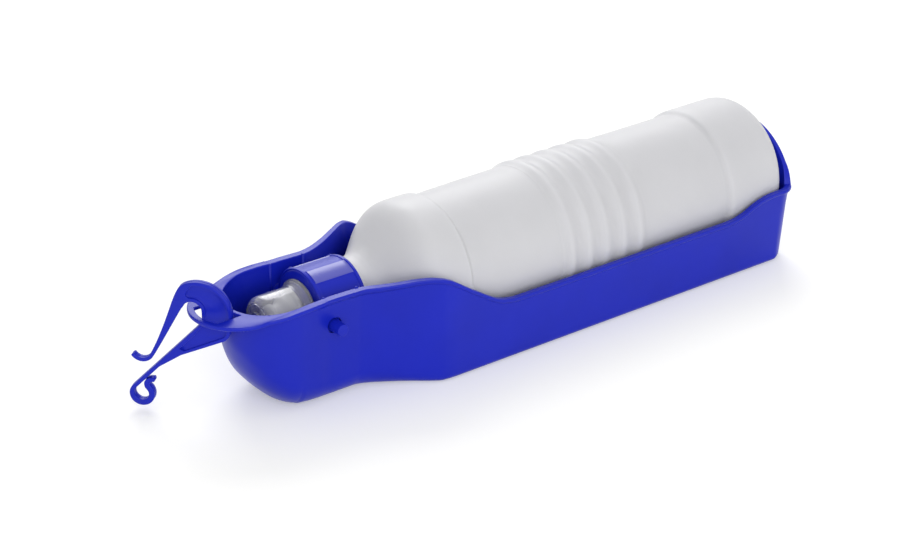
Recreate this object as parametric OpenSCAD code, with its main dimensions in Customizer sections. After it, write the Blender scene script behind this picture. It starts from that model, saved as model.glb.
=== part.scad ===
// Travel water bottle for dogs: a squeeze bottle that folds into its own
// drinking tray. The screw cap turns on two pins in the waist of the tray, a
// sliding nozzle sits on the cap under a clear dust cap, and a belt clip
// hooks through the slot in the nose shelf.
// Millimetres, +Z up, +X from the pivot towards the base of the bottle. The
// floor is z = 0 and the pivot pins lie on the line x = 0.

/* [Bottle] */
// Radius of the band round the bottle's base
base_radius = 31.5; // [28.5:0.1:34.5]
// Distance from the pivot to the end of the base
bottle_reach = 233.8; // [215:0.1:250]
// Distance the base band stands out from the body
base_step = 1.5; // [0.8:0.1:2.2]
// Radius of the plain neck behind the screw cap
neck_radius = 14; // [13:0.1:15]
// Wall thickness of the blown bottle
bottle_wall = 0.9; // [0.7:0.05:1.1]
// Height of the squeeze ribs above the grooves between them
rib_height = 1.1; // [0.6:0.1:1.5]
// Distance between neighbouring squeeze ribs
rib_pitch = 9.35; // [8.4:0.05:10.2]

/* [Tray] */
// Wall thickness of the moulded tray
tray_wall = 2; // [1.6:0.1:2.3]
// Thickness of the tray's floor
tray_floor = 2; // [1.6:0.1:2.4]
// Gap between the bottle's base and the side walls
side_gap = 1.7; // [1.2:0.1:2.4]
// Gap between the swinging corner of the bottle's base and the end wall
end_gap = 0.3; // [0.2:0.05:0.8]
// Height of the low side walls beside the bottle
side_height = 27.7; // [24:0.1:31]
// Height of the high side walls round the screw cap
waist_height = 47.2; // [44:0.1:50]
// Height of the rounded top of the end wall
arch_height = 56.9; // [50:0.1:60]
// Distance from the pivot to the middle of the round nose
nose_reach = 15.3; // [13.5:0.1:17]
// Width of the shelf in front of the nose
shelf_reach = 14; // [13.2:0.1:15.4]
// Thickness of the shelf
shelf_thickness = 1.6; // [1.2:0.1:2]
// Width of the bar left between the slot and the edge of the shelf
slot_bar = 2.7; // [2.2:0.1:3]

/* [Screw cap] */
// Wall thickness of the screw cap at its end rings
cap_wall = 2; // [1.6:0.05:2.6]
// Length of the screw cap
cap_length = 21.2; // [19:0.1:23]
// Radius of the two pivot pins in the walls of the tray
pin_radius = 3.3; // [2.9:0.05:3.8]
// Radius of the tips of the pins, outside the tray
pin_tip_radius = 2.6; // [2.2:0.05:2.8]
// Distance the pins stand out beyond the walls of the tray
pin_reach = 5.6; // [4:0.1:7]

/* [Nozzle and dust cap] */
// Outer radius of the clear dust cap
dust_radius = 10; // [9.2:0.1:10.8]
// Wall thickness of the dust cap
dust_wall = 1; // [0.8:0.05:1.2]
// Travel of the push-pull nozzle
nozzle_travel = 4; // [3:0.1:4.6]
// Radius of the hole in the tip of the spout tube
tube_hole = 3.2; // [2.8:0.1:3.6]

/* [Belt clip] */
// Width of the rims of the belt clip
clip_width = 3.2; // [2.6:0.1:3.4]
// Thickness of the web between the rims
clip_web = 1.1; // [0.8:0.1:1.6]
// Thickness of the lower arm of the clip
clip_bar = 1.64; // [1.4:0.02:2]
// Angle by which the clip has swivelled on the bar of the shelf
clip_turn = 41; // [38:0.5:44]

/* [Hidden] */
$fn = 96;
// Radial play of the pivot pins, the nozzle, the thread and the dust cap
play = 0.08;
// Small chamfer on the edges of turned parts
edge = 0.3;

// Bottle radii along its length
body_radius = base_radius - base_step;
shoulder_radius = base_radius - base_step / 3;
groove_depth = 0.6;
rib_root = 0.3;
rib_crest = 1.05;
rib_radius = body_radius + rib_root + rib_crest * rib_height;
// Gap between the widest part of the bottle and the floor of the tray
rest_gap = 0.5;
// Height of the bottle's axis and of the pivot
axis_height = tray_floor + rest_gap + max(base_radius, rib_radius);
// Radius of the rounded edge of the base, and size of its dished middle
base_round = 9;
base_dish = 2.4;
dish_radius = 17;
dish_slope = 4;
// Ends of the screw cap along the axis
cap_front = -2.25;
cap_back = cap_front + cap_length;
// Neck: depth of the thread, carrying bead behind the cap, and the neck's end
thread_depth = 0.35;
thread_root = neck_radius - 0.5;
thread_xs = [3.4, 12.4];
thread_land = 1;
thread_flank = 0.8;
bead_gap = 0.4;
bead_x = cap_back + bead_gap;
bead_width = 1.2;
bead_height = 0.7;
neck_length = 6.05;
neck_end_x = bead_x + neck_length;
neck_end_radius = neck_radius + 0.5;
// Stations along the bottle, measured from the pivot
mouth_x = 1.05;
shoulder_x = 48.6;
groove_x = 61.3;
groove_fade = 44;
rib_middle_x = 131;
rib_count = 5;
first_rib_x = rib_middle_x - (rib_count - 1) / 2 * rib_pitch;
// Length of the base band, with its rounded edge, and of the step up to it
band_length = 29.2;
band_step_length = 6.2;
step_end_x = bottle_reach - band_length;
step_x = step_end_x - band_step_length;
// Rows of the shoulder: [share of its length, share of its widening]
shoulder_rows = [
    [0.1, 0.07], [0.19, 0.15], [0.3, 0.31], [0.42, 0.47], [0.53, 0.63],
    [0.64, 0.77], [0.75, 0.88], [0.86, 0.96], [1, 1]];
// Rows of one squeeze rib: [share of the pitch, share of the height]
rib_rows = [[-0.42, 0.1], [-0.3, 0.4], [-0.15, 0.93], [0, rib_crest], [0.15, 0.93], [0.3, 0.4], [0.42, 0.1]];
// Rows of the step to the base band: [share of its length, share of its height]
step_rows = [[0, 0], [0.35, 0.2], [0.7, 0.8], [1, 1]];

// Screw cap radii and thickness
cap_bore = neck_radius + thread_depth;
cap_radius = cap_bore + cap_wall;
thread_radius = cap_bore - play;
cap_face = 1.8;
cap_inside = cap_front + cap_face;
ring_width = 1.3;
ring_step = 0.5;
barrel_radius = cap_radius - ring_step;
// Raised grips on the barrel: number, width, height and turn from the top
grip_count = 4;
grip_width = 2.7;
grip_height = ring_step + 0.15;
grip_turn = 32;
// How far one shape runs into the next where they are one moulding
overlap = 0.6;
// Seal washer between the screw cap and the mouth of the bottle
seal_gap = 0.05;
seal_thickness = 1.1;
seal_radius = neck_radius - 0.1;
seal_width = 4.4;
// Boss that the dust cap sits on, spout tube and its valve stem
boss_radius = dust_radius - dust_wall - play;
boss_length = 3.35;
boss_end = cap_front - boss_length;
tube_wall = 1.8;
tube_radius = tube_hole + tube_wall;
stem_radius = 1.5;
spoke_width = 1;
spoke_length = 4;
// Nozzle: gap to what it closes on, and its grip on the tube when drawn
nozzle_gap = 0.4;
nozzle_start = boss_end - nozzle_gap;
nozzle_grip = 2;
tube_end = nozzle_start - nozzle_travel - nozzle_grip;
nozzle_shelf = tube_end - nozzle_gap;
nozzle_nose = 5.2;
nozzle_tip = nozzle_shelf - nozzle_nose;
nozzle_room = 1.8;
nozzle_radius = dust_radius - dust_wall - nozzle_room;
nozzle_collar = 0.7;
nozzle_tip_radius = tube_radius + 0.3;
nozzle_throat = tube_hole - 0.2;
nozzle_hole_length = 1.6;
stem_end = nozzle_tip + nozzle_gap;
// Dust cap: gap to the screw cap, room left beyond the drawn nozzle, flange
// with a step on it, and rounded end
dust_gap = 0.35;
dust_room = 1;
dust_open = cap_front - dust_gap;
dust_end = nozzle_tip - nozzle_travel - dust_room - dust_wall;
flange_out = 2.25;
step_out = 1.5;
dust_flange = dust_radius + flange_out;
dust_step = dust_radius + step_out;
dome_depth = 5.6;
// Rows of its rounded end: [share of its depth, share of its radius]
dome_rows = [[0, 1], [0.11, 0.965], [0.36, 0.86], [0.65, 0.69], [0.9, 0.46], [1, 0.3]];

// Half widths of the tray, outside, at the rim
waist_gap = 2.35;
tray_half = base_radius + side_gap + tray_wall;
waist_half = cap_radius + waist_gap + tray_wall;
waist_inner = waist_half - tray_wall;
nose_radius = waist_half + 0.9;
nose_height = waist_height - 2.3;
corner_height = side_height + 6.6;
// Stations of the tray along X
waist_start = -1;
waist_end = 11.7;
flare_end = 48.6;
drop_start = 34;
drop_end = 79;
rise_length = 30;
rise_end = bottle_reach - 10;
rise_start = rise_end - rise_length;
// End wall: lean, thickness, outside face at the foot, plan corner and arch
end_slope = 0.038;
end_wall = tray_wall - 0.3;
swing_reach = norm([bottle_reach - base_round, base_radius - base_round]) + base_round;
end_x = (swing_reach + end_gap) * sqrt(1 + pow(end_slope, 2)) + end_wall - end_slope * axis_height;
plan_corner = 8.5;
corner_tuck = 1.4;
corner_x = end_x - plan_corner;
corner_y = tray_half - plan_corner;
arch_radius = base_radius + 1;
// Foot of the walls: corner radius and inset from the rim, narrow and wide
foot_narrow = 8.5;
foot_wide = tray_wall + 0.6;
inset_narrow = 1.5;
inset_wide = 0.85;
corner_steps = 5;
// Rim bead
bead_out = 0.7;
bead_high = 1.4;
end_lip = 0.5;
corner_lip = 1.1;
// Rows of the nose profile: [distance from the nose centre, height], as
// shares of the nose radius and of the nose height
nose_rows = [[0.11, 0], [0.33, 0.077], [0.57, 0.2], [0.77, 0.34], [0.91, 0.525], [0.99, 0.74]];
// Share of the nose profile near the sides, from the foot to the rim
nose_powers = [0.8, 1, 1.25, 1.5, 1.75, 2];
// Rows of the flare: [share of its length, share of its widening]
flare_rows = [
    [0, 0], [0.08, 0.035], [0.17, 0.11], [0.29, 0.22], [0.41, 0.335], [0.54, 0.47],
    [0.66, 0.63], [0.78, 0.81], [0.88, 0.94], [1, 1]];
// Rows of the drop of the rim: [share of its length, share left]
drop_rows = [
    [0, 0.99], [0.05, 0.97], [0.15, 0.945], [0.24, 0.9], [0.33, 0.8], [0.42, 0.65],
    [0.53, 0.5], [0.65, 0.34], [0.76, 0.17], [0.88, 0.045], [1, 0]];
// Rows of the rise at the end: [share of its length, share risen]
rise_rows = [[0, 0], [0.2, 0.05], [0.4, 0.23], [0.6, 0.62], [0.8, 0.88], [1, 1]];

// Shelf: middle and radius of its round edge, top and slot
shelf_x = -2 * nose_reach;
shelf_radius = nose_reach + nose_radius + shelf_reach + shelf_x;
shelf_top = nose_height - 0.5;
slot_half = 9.5;
// Side edge of the shelf, running into the bead of the rim
shelf_sides = [
    [shelf_x, shelf_radius],
    [-nose_reach - 7, nose_radius - 0.1],
    [-nose_reach, nose_radius + 0.4],
    [-nose_reach * 0.45, waist_half + 0.6]];
// Gussets under the shelf, either side of the nose
gusset_turn = 32;
gusset_width = 1.2;
gusset_out = 3;
gusset_height = 6.5;
// Upright guide ribs on the inside of the waist
guide_xs = [-4.05, waist_end];
guide_width = 1.1;
guide_out = 0.75;
guide_foot = axis_height - 6;
guide_top = waist_height - 1;
// Pivot pins: end of the tip, recess of the bearing and root in the barrel
pin_end = waist_half + pin_reach;
pin_recess = 0.7;
pin_chamfer = 0.4;

// Belt clip: middle of its throat, a little inside and above the bar's middle
clip_bar_angle = 164.3;
clip_inset = 0.35;
clip_lift = 2.05;
clip_bar_radius = shelf_radius - slot_bar / 2 - clip_inset;
clip_x = shelf_x + clip_bar_radius * cos(clip_bar_angle);
clip_y = clip_bar_radius * sin(clip_bar_angle);
clip_z = shelf_top - shelf_thickness / 2 + clip_lift;
// The clip is drawn flat about the middle of its throat: [left, up]
throat_radius = 3.9;
throat_end = 18;
throat_foot = -4.2;
clip_rim = 1.5;
head_middle = [-2.7, -0.7];
head_radius = 13.1;
heel_middle = [-9.6, -8];
heel_radius = 5.4;
web_length = 22;
// Recess: gap left between it and the end of the web, and its upper corners
pocket_end = 8;
pocket_corners = [[2.4, 6.2], [1.6, 8.7]];
// Lower arm: straight bar, then a curl that turns back into a small lip
bar_start = [-2.69, -7.07];
bar_turn = -45.7;
curl_middle = [22.3, -38.55];
curl_radius = 4.05;
curl_half = 1.2;
lip_radius = 2;
curl_end = -226;
lip_sweep = 130;
lip_tail = 1.6;
lip_half = 0.7;
// Upper arm: tapers from the head into a hook that faces outwards
arm_start = [6.15, 1.75];
arm_half = 2.2;
arm_shoulder = [[6.5, 6.8], [4.9, 9.7]];
hook_middle = [21.3, -19];
hook_radius = 4.5;
hook_start = -150;
hook_end = -30;
hook_half = 0.76;
arm_lead = 8;
arm_turn = -65;
arc_steps = 18;

// Which node to draw

tray_blue = [0.10, 0.13, 0.66];
bottle_white = [0.90, 0.91, 0.93, 0.9];
seal_white = [0.85, 0.85, 0.82];
nozzle_white = [0.93, 0.94, 0.95];
clear_white = [0.88, 0.90, 0.95, 0.4];

function reversed(list) = [for (i = [len(list) - 1:-1:0]) list[i]];
function mirrored_y(list) = [for (p = list) [p[0], -p[1]]];

// Points of an arc about a middle, from one bearing to another
function arc(middle, r, from, to, steps = arc_steps) =
    [for (i = [0:steps])
        let (a = from + (to - from) * i / steps)
        middle + r * [cos(a), sin(a)]];

// Tray half width, outside, at station x
function plan_half(x) =
    x < waist_start ? lookup(x, [
        [-nose_reach, nose_radius],
        [-nose_reach / 2, nose_radius - 0.4],
        [waist_start, waist_half]]) :
    x < waist_end ? waist_half :
    waist_half + (tray_half - waist_half) * lookup((x - waist_end) / (flare_end - waist_end), flare_rows);

// Rim height at station x
function rim_height(x) =
    x < drop_start ? lookup(x, [
        [-nose_reach - nose_radius, nose_height],
        [-nose_reach - 12, nose_height + 0.9],
        [-nose_reach, nose_height + 1.5],
        [0, waist_height],
        [waist_end, waist_height],
        [drop_start, waist_height - 0.4]]) :
    x < rise_start ?
        let (share = lookup((x - drop_start) / (drop_end - drop_start), drop_rows))
        side_height + (waist_height - side_height) * share :
    let (share = lookup((x - rise_start) / (rise_end - rise_start), rise_rows))
    side_height + (corner_height - side_height) * share;

// Height of the arched end wall at distance y from the middle
function arch_top(y) = arch_height - arch_radius + sqrt(pow(arch_radius, 2) - pow(y, 2));

// How far the wall with rim half width w has widened, from 0 to 1
function wide_share(w) = min(1, max(0, (w - waist_half) / (tray_half - waist_half)));
// Corner radius and inset of a wall's foot for a rim half width w
function foot_round(w) = foot_narrow + (foot_wide - foot_narrow) * wide_share(w);
function foot_inset(w) = inset_narrow + (inset_wide - inset_narrow) * wide_share(w);
// Softening of the foot from the waist towards the nose
function foot_soft(x) = lookup(x, [[-nose_reach, 3.6], [-nose_reach * 0.6, 1.6], [0, 0]]);

// Rounded foot of a wall whose face stands at out, as [out, up]
function foot_rows(out, r) =
    [for (i = [0:corner_steps])
        let (a = 90 * i / corner_steps)
        [out - r + r * sin(a), r - r * cos(a)]];

// Outer section of a wall: rounded foot and rim, as [out, up]
function wall_rows(w, top, soft = 0) =
    concat(foot_rows(w - foot_inset(w), foot_round(w) + soft), [[w, top]]);

// The same for the nose, seen at bearing a from the side
function nose_rows_at(a) =
    let (
        side = wall_rows(waist_half, rim_height(-nose_reach), foot_soft(-nose_reach)),
        top = rim_height(-nose_reach - nose_radius * sin(a)))
    concat(
        [for (i = [0:corner_steps])
            let (
                share = pow(sin(a), nose_powers[i]),
                widened = side[i] + [(nose_radius - waist_half) * i / corner_steps, 0],
                bow = [nose_rows[i][0] * nose_radius, nose_rows[i][1] * nose_height])
            widened * (1 - share) + bow * share],
        [[nose_radius, top]]);

// The same for the end wall, measured from the middle of the plan corner
function end_rows(top) =
    concat(foot_rows(plan_corner, foot_wide), [[plan_corner + end_slope * (top - foot_wide), top]]);

function side_corner_rows(top) =
    [for (p = wall_rows(tray_half, top)) [p[0] - tray_half + plan_corner, p[1]]];

// Blend of the two round the plan corner, tucked in towards the foot
function corner_rows(b, top) =
    let (share = 1 - b / 90, side = side_corner_rows(top), end = end_rows(top))
    [for (i = [0:corner_steps + 1])
        let (tuck = corner_tuck * sin(2 * b) * (1 - side[i][1] / top))
        side[i] * (1 - share) + end[i] * share - [tuck, 0]];

// Unit normal of a section segment, pointing into the tray
function inward(a, b) = let (d = b - a) [-d[1], d[0]] / norm(d);

// Closed wall section: outer rows, bead, rim and inner rows
function closed_rows(rows, wall, lip) =
    let (
        n = len(rows) - 1,
        rim = rows[n],
        lean = (rim[0] - rows[n - 1][0]) / (rim[1] - rows[n - 1][1]),
        inner = [for (i = [n - 1:-1:0])
            i == 0 ? [rows[0][0], tray_floor] :
            let (
                m = inward(rows[i - 1], rows[i]) + inward(rows[i], rows[i + 1]),
                thick = wall + (tray_floor - wall) * (n - 1 - i) / (n - 1))
            rows[i] + m / norm(m) * thick]
    )
    concat(
        [for (i = [0:n - 1]) rows[i]],
        [[rim[0] - lean * (bead_high + lip), rim[1] - bead_high - lip],
         [rim[0] + lip, rim[1] - bead_high],
         [rim[0] + lip, rim[1]],
         [rim[0] - wall, rim[1]]],
        inner);

// One station of the tray: closed section placed at a point and a bearing
function placed(rows, wall, lip, x, y, bearing) =
    [for (p = closed_rows(rows, wall, lip)) [x + p[0] * cos(bearing), y + p[0] * sin(bearing), p[1]]];

function nose_station(a) =
    placed(nose_rows_at(a), tray_wall, bead_out * (1 - a / 90), -nose_reach, 0, 90 + a);

function side_station(x) =
    placed(wall_rows(plan_half(x), rim_height(x), foot_soft(x)), tray_wall, bead_out, x, 0, 90);

function corner_station(b) =
    let (
        share = 1 - b / 90,
        top = max(corner_height, arch_top(min(arch_radius, corner_y + plan_corner * sin(b)))),
        wall = tray_wall + (end_wall - tray_wall) * share,
        lip = bead_out + (end_lip - bead_out) * share + corner_lip * sin(2 * b))
    placed(corner_rows(b, top), wall, lip, corner_x, corner_y, b);

function end_station(y) =
    placed(end_rows(arch_top(y)), end_wall, end_lip, corner_x, y, 0);

nose_steps = 9;
side_xs = concat(
    [-nose_reach * 0.75, -nose_reach / 2, waist_start, waist_end / 2, waist_end],
    [for (i = [1:9]) waist_end + flare_rows[i][0] * (flare_end - waist_end)],
    [for (i = [4:10]) drop_start + drop_rows[i][0] * (drop_end - drop_start)],
    [(drop_end + rise_start) / 2],
    [for (i = [0:5]) rise_start + rise_rows[i][0] * (rise_end - rise_start)]);
corner_bearings = [90, 67.5, 45, 22.5, 0];
arch_shares = [0.95, 0.87, 0.75, 0.6, 0.42, 0.22, 0];

// Stations on the +Y half, from the tip of the nose to the middle of the end
half_loop = concat(
    [for (i = [0:nose_steps]) nose_station(90 - 90 * i / nose_steps)],
    [for (x = side_xs) side_station(x)],
    [for (b = corner_bearings) corner_station(b)],
    [for (s = arch_shares) end_station(corner_y * s)]);
last = len(half_loop) - 1;
loop = concat(
    half_loop,
    [for (i = [last - 1:-1:1]) [for (p = half_loop[i]) [p[0], -p[1], p[2]]]]);
rows_per_station = len(loop[0]);
stations = len(loop);
// First station of the straight bottom edge of the end wall
fan = last - len(arch_shares) - 1;

// Number of the point in row j of station i
function at(i, j) = (i % stations) * rows_per_station + j;

// Flat cap over row j of the loop, seen from below when flip is false
function loop_cap(j, flip) =
    [for (f = concat(
        [[at(0, j), at(1, j), at(stations - 1, j)]],
        [for (i = [1:fan - 1]) [at(i, j), at(i + 1, j), at(stations - i, j)]],
        [for (i = [1:fan - 1]) [at(i + 1, j), at(stations - i - 1, j), at(stations - i, j)]],
        [for (i = [fan + 1:stations - fan - 1]) [at(fan, j), at(i, j), at(i + 1, j)]]))
        flip ? f : [f[2], f[1], f[0]]];

module tray_shell() {
    polyhedron(
        points = [for (s = loop) for (p = s) p],
        faces = concat(
            [for (i = [0:stations - 1]) for (j = [0:rows_per_station - 2])
                [at(i, j), at(i + 1, j), at(i, j + 1)]],
            [for (i = [0:stations - 1]) for (j = [0:rows_per_station - 2])
                [at(i, j + 1), at(i + 1, j), at(i + 1, j + 1)]],
            loop_cap(0, false),
            loop_cap(rows_per_station - 1, true)),
        convexity = 8);
}

// Slot for the belt clip, between the nose and the bar of the shelf
module slot_outline() {
    difference() {
        intersection() {
            translate([shelf_x, 0])
                circle(r = shelf_radius - slot_bar);
            translate([shelf_x - shelf_radius, -slot_half])
                square([shelf_radius, 2 * slot_half]);
        }
        translate([-nose_reach, 0])
            circle(r = nose_radius + play);
    }
}

// Flat shelf in front of the nose
module shelf_outline() {
    difference() {
        union() {
            translate([shelf_x, 0])
                circle(r = shelf_radius);
            polygon(concat(shelf_sides, reversed(mirrored_y(shelf_sides))));
        }
        translate([-nose_reach, 0])
            circle(r = nose_radius - tray_wall / 2);
        translate([-nose_reach, -waist_half + tray_wall / 2])
            square([nose_reach, 2 * waist_half - tray_wall]);
        slot_outline();
    }
}

// Triangular gusset between the nose wall and the underside of the shelf
module gusset(turn) {
    translate([-nose_reach, 0, shelf_top - shelf_thickness / 2])
        rotate([90, 0, 180 + turn])
            linear_extrude(height = gusset_width, center = true)
                polygon([
                    [nose_radius - tray_wall / 2, 0],
                    [nose_radius + gusset_out, 0],
                    [nose_radius - tray_wall / 2, -gusset_height]]);
}

module guide_rib(x, side) {
    translate([x - guide_width / 2, side * (waist_inner - guide_out / 2) - guide_out, guide_foot])
        cube([guide_width, 2 * guide_out, guide_top - guide_foot]);
}

module tray() {
    color(tray_blue)
        difference() {
            union() {
                tray_shell();
                translate([0, 0, shelf_top - shelf_thickness])
                    linear_extrude(height = shelf_thickness)
                        shelf_outline();
                for (side = [-1, 1]) {
                    gusset(side * gusset_turn);
                    for (x = guide_xs)
                        guide_rib(x, side);
                }
            }
            translate([0, 0, axis_height])
                rotate([90, 0, 0])
                    cylinder(h = 4 * waist_half, r = pin_radius + play, center = true);
        }
}

// One ring of the thread as [distance along the axis, radius]
function thread_ring(x) = [
    [x, thread_root],
    [x + thread_flank, thread_radius],
    [x + thread_flank + thread_land, thread_radius],
    [x + 2 * thread_flank + thread_land, thread_root]];

// Outline of the blown bottle as [distance along the axis, radius]
neck_outline = concat(
    [[mouth_x, thread_root]],
    thread_ring(thread_xs[0]),
    thread_ring(thread_xs[1]),
    [[bead_x - play, thread_root],
     [bead_x + play, neck_radius + bead_height],
     [bead_x + bead_width, neck_radius + bead_height],
     [bead_x + bead_width + 0.4, neck_radius],
     [neck_end_x - 1.4, neck_radius + 0.1],
     [neck_end_x, neck_end_radius]]);
shoulder_outline = [for (p = shoulder_rows) [
    neck_end_x + p[0] * (shoulder_x - neck_end_x),
    neck_end_radius + p[1] * (shoulder_radius - neck_end_radius)]];
groove_outline = [
    [groove_x - 2, shoulder_radius],
    [groove_x - 0.8, shoulder_radius - 0.5],
    [groove_x, body_radius - groove_depth],
    [groove_x + 0.8, body_radius - 0.7 * groove_depth],
    [groove_x + groove_fade, body_radius]];
rib_outline = [for (i = [0:rib_count - 1]) for (p = rib_rows)
    [first_rib_x + (i + p[0]) * rib_pitch, body_radius + rib_root + p[1] * rib_height]];
band_outline = concat(
    [[first_rib_x + (rib_count - 0.3) * rib_pitch, body_radius]],
    [for (p = step_rows) [step_x + p[0] * band_step_length, body_radius + p[1] * base_step]],
    arc([bottle_reach - base_round, base_radius - base_round], base_round, 90, 0, 6));
bottle_outer = concat(neck_outline, shoulder_outline, groove_outline, rib_outline, band_outline);

// The inside follows the outside one wall thickness in, and is plain at the neck
neck_bore = thread_root - 1.6 * bottle_wall;
inner_round = base_round - bottle_wall;
round_x = bottle_reach - base_round;
function inner_x(x) = max(mouth_x, min(x, round_x + inner_round / base_round * (x - round_x)));
bottle_inner = reversed([for (i = [0:len(bottle_outer) - 1]) [
    inner_x(bottle_outer[i][0]),
    i < len(neck_outline) ? neck_bore : bottle_outer[i][1] - bottle_wall]]);

// Dished base, outside and inside
dish_outline = [
    [bottle_reach, dish_radius],
    [bottle_reach - base_dish, dish_radius - dish_slope],
    [bottle_reach - base_dish, 0],
    [bottle_reach - base_dish - bottle_wall, 0],
    [bottle_reach - base_dish - bottle_wall, dish_radius - dish_slope],
    [bottle_reach - bottle_wall, dish_radius]];

module along_x(x) {
    translate([x, 0, axis_height])
        rotate([0, 90, 0])
            children();
}

// Solid turned about the bottle's axis from [distance along it, radius]
module revolved(rows) {
    along_x(0)
        rotate_extrude()
            polygon([for (p = rows) [p[1], p[0]]]);
}

module bottle() {
    color(bottle_white)
        revolved(concat(bottle_outer, dish_outline, bottle_inner));
}

module cap_shell() {
    revolved([
        [cap_front, boss_radius],
        [cap_front, cap_radius - edge],
        [cap_front + edge, cap_radius],
        [cap_front + ring_width, cap_radius],
        [cap_front + ring_width + edge, barrel_radius],
        [cap_back - ring_width - edge, barrel_radius],
        [cap_back - ring_width, cap_radius],
        [cap_back, cap_radius],
        [cap_back, cap_bore],
        [cap_inside, cap_bore],
        [cap_inside, tube_hole],
        [tube_end, tube_hole],
        [tube_end, tube_radius],
        [boss_end, tube_radius],
        [boss_end, boss_radius - edge],
        [boss_end + edge, boss_radius]]);
}

module cap_grip(turn) {
    along_x(0)
        rotate([0, 0, turn])
            translate([barrel_radius - overlap, -grip_width / 2, cap_front + overlap])
                cube([grip_height + overlap, grip_width, cap_length - 2 * overlap]);
}

module pivot_pin(side) {
    translate([0, 0, axis_height])
        rotate([side * -90, 0, 0]) {
            cylinder(h = waist_half - pin_recess, r = pin_radius);
            cylinder(h = pin_end - pin_chamfer, r = pin_tip_radius);
            cylinder(h = pin_end, r = pin_tip_radius - pin_chamfer);
        }
}

// Both pins, cut away inside the bore of the cap and in front of its face
module pivot_pins() {
    difference() {
        for (side = [-1, 1])
            pivot_pin(side);
        along_x(cap_inside)
            cylinder(h = cap_length, r = cap_bore + edge);
        along_x(cap_front - cap_length)
            cylinder(h = cap_length + cap_face - edge, r = cap_bore + edge);
    }
}

module valve_stem() {
    along_x(stem_end)
        cylinder(h = cap_inside - stem_end, r = stem_radius);
    for (turn = [0, 90])
        along_x(tube_end + spoke_width)
            rotate([0, 0, turn])
                translate([-tube_hole - play, -spoke_width / 2, 0])
                    cube([2 * (tube_hole + play), spoke_width, spoke_length]);
}

module screw_cap() {
    color(tray_blue)
        union() {
            cap_shell();
            for (i = [0:grip_count - 1])
                cap_grip(180 - grip_turn + i * 360 / grip_count);
            valve_stem();
            pivot_pins();
        }
}

module neck_seal() {
    seal_x = cap_inside + seal_gap;
    color(seal_white)
        revolved([
            [seal_x, seal_radius - seal_width],
            [seal_x, seal_radius],
            [seal_x + seal_thickness, seal_radius],
            [seal_x + seal_thickness, seal_radius - seal_width]]);
}

module nozzle() {
    color(nozzle_white)
        revolved([
            [nozzle_start, tube_radius + play],
            [nozzle_start, nozzle_radius + nozzle_collar],
            [nozzle_start - 1.4, nozzle_radius + nozzle_collar],
            [nozzle_start - 1.8, nozzle_radius],
            [nozzle_shelf + 1.5, nozzle_radius - 0.2],
            [nozzle_shelf - 0.8, nozzle_tip_radius - 0.4],
            [nozzle_tip + 2.4, nozzle_tip_radius - 0.6],
            [nozzle_tip + 1.8, nozzle_tip_radius],
            [nozzle_tip + 0.5, nozzle_tip_radius],
            [nozzle_tip, nozzle_tip_radius - 0.5],
            [nozzle_tip, stem_radius + play],
            [nozzle_tip + nozzle_hole_length, stem_radius + play],
            [nozzle_tip + nozzle_hole_length + 0.6, nozzle_throat],
            [nozzle_shelf, nozzle_throat],
            [nozzle_shelf, tube_radius + play]]);
}

// Rounded end of a dust cap shell: depth of its dome, end and outer radius
function dome(depth, end, r) =
    [for (p = dome_rows) [end + depth * (1 - p[0]), r * p[1]]];

module dust_cap() {
    color(clear_white)
        revolved(concat(
            [[dust_open, dust_radius - dust_wall],
             [dust_open, dust_flange - 0.2],
             [dust_open - 0.2, dust_flange],
             [dust_open - 1.1, dust_flange],
             [dust_open - 1.2, dust_step],
             [dust_open - 1.9, dust_step],
             [dust_open - 2.6, dust_radius + edge],
             [dust_open - 3.6, dust_radius]],
            dome(dome_depth, dust_end, dust_radius),
            [[dust_end, 0], [dust_end + dust_wall, 0]],
            reversed(dome(dome_depth - dust_wall, dust_end + dust_wall, dust_radius - dust_wall))));
}

// One side of a strip that follows a path, with its half width at each point
function strip_side(path, halves, side) =
    [for (i = [0:len(path) - 1])
        let (d = path[min(i + 1, len(path) - 1)] - path[max(i - 1, 0)])
        path[i] + side * halves[i] * [-d[1], d[0]] / norm(d)];

// Cubic curve through its first and last control points
function curve(p, steps) =
    [for (i = [0:steps])
        let (t = i / steps)
        pow(1 - t, 3) * p[0] + 3 * t * pow(1 - t, 2) * p[1] + 3 * t * t * (1 - t) * p[2] + pow(t, 3) * p[3]];

function heading(a) = [cos(a), sin(a)];

// Upper arm: a tapering curve that runs into the hook
hook_path = arc(hook_middle, hook_radius, hook_start, hook_end, 8);
arm_path = concat(
    curve([
        arm_start,
        arm_start + arm_lead * heading(arm_turn),
        hook_path[0] - arm_lead * heading(hook_start + 90),
        hook_path[0]], 9),
    [for (i = [1:8]) hook_path[i]]);
arm_halves = [for (i = [0:17]) hook_half + (arm_half - hook_half) * pow(max(0, 1 - i / 9), 1.6)];

// Lower arm: the bar meets the curl on a tangent, and the lip leaves it on one
curl_start = 90 + bar_turn;
curl_path = arc(curl_middle, curl_radius, curl_start, curl_end);
lip_middle = curl_middle + (curl_radius + lip_radius) * heading(curl_end);
lip_turn = curl_end + 180 + lip_sweep;
lip_path = arc(lip_middle, lip_radius, curl_end + 180, lip_turn, 8);
lip_tip = lip_path[8] + lip_tail * heading(lip_turn + 90);
lower_path = concat([bar_start], curl_path, [for (i = [1:8]) lip_path[i]], [lip_tip]);
lower_halves = concat(
    [clip_bar / 2],
    [for (i = [0:arc_steps]) clip_bar / 2 + (curl_half - clip_bar / 2) * min(1, i / 6)],
    [for (i = [1:9]) curl_half + (lip_half - curl_half) * min(1, i / 8)]);

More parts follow.
